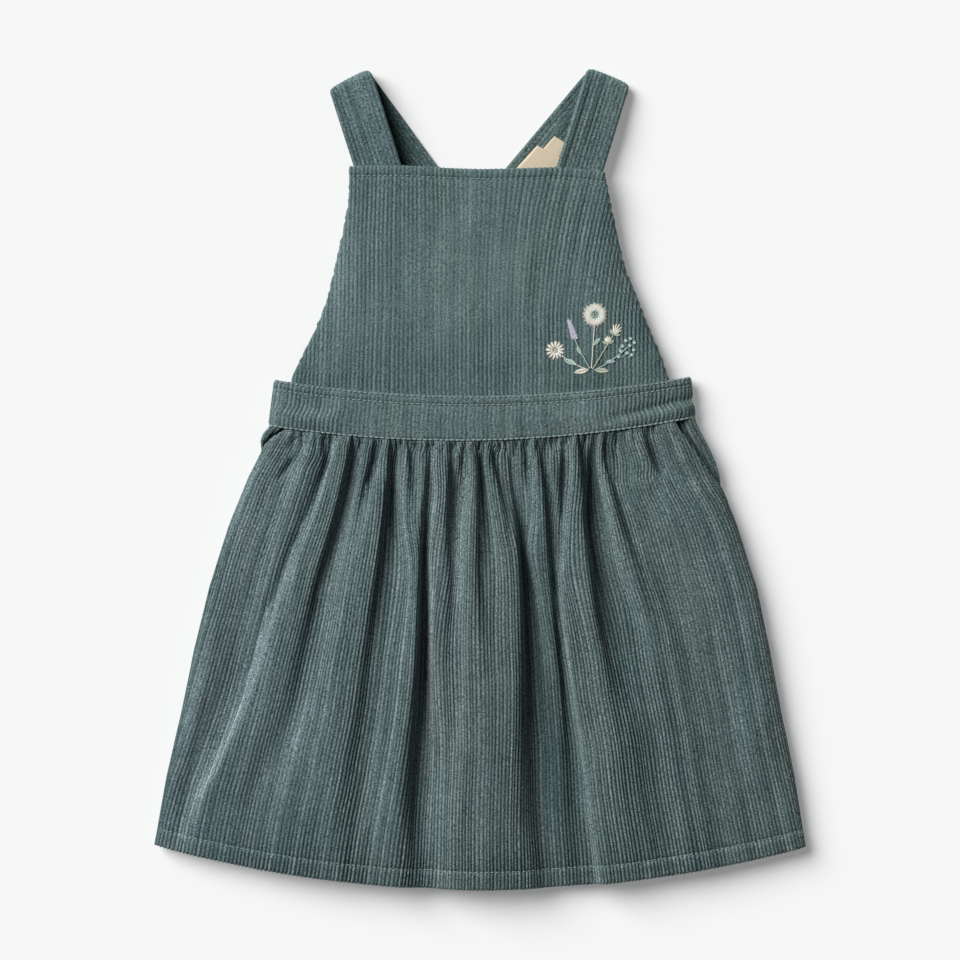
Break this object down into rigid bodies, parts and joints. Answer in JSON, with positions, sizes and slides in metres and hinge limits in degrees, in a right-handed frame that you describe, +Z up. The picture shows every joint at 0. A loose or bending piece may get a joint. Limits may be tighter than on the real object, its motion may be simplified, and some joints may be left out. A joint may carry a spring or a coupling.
{
  "type": "pinafore dress",
  "caption": "Child's sleeveless corduroy pinafore laid flat: bib front, waistband, gathered skirt with side pocket openings, and straps that fold over and cross behind.",
  "frame": {"origin": "on the surface the dress lies on, under the middle of its outline", "axes": "+Z up from the surface, +Y from the hem towards the shoulder straps, +X to the viewer's right as the front is looked at from above"},
  "size_m": [0.4172, 0.5247, 0.0257],
  "materials": {
    "corduroy": "blue-green cotton corduroy, wales along the grain, matt with a soft nap",
    "label": "cream woven tape, matt"
  },
  "bodies": {
    "root": {"bib_front": "corduroy", "waistband_front": "corduroy", "waistband_back": "corduroy", "skirt_front": "corduroy", "skirt_back": "corduroy", "strap_left": "corduroy", "strap_right": "corduroy", "pocket_left": "corduroy", "pocket_right": "corduroy", "label_main": "label", "label_size": "label"}
  },
  "joints": []
}
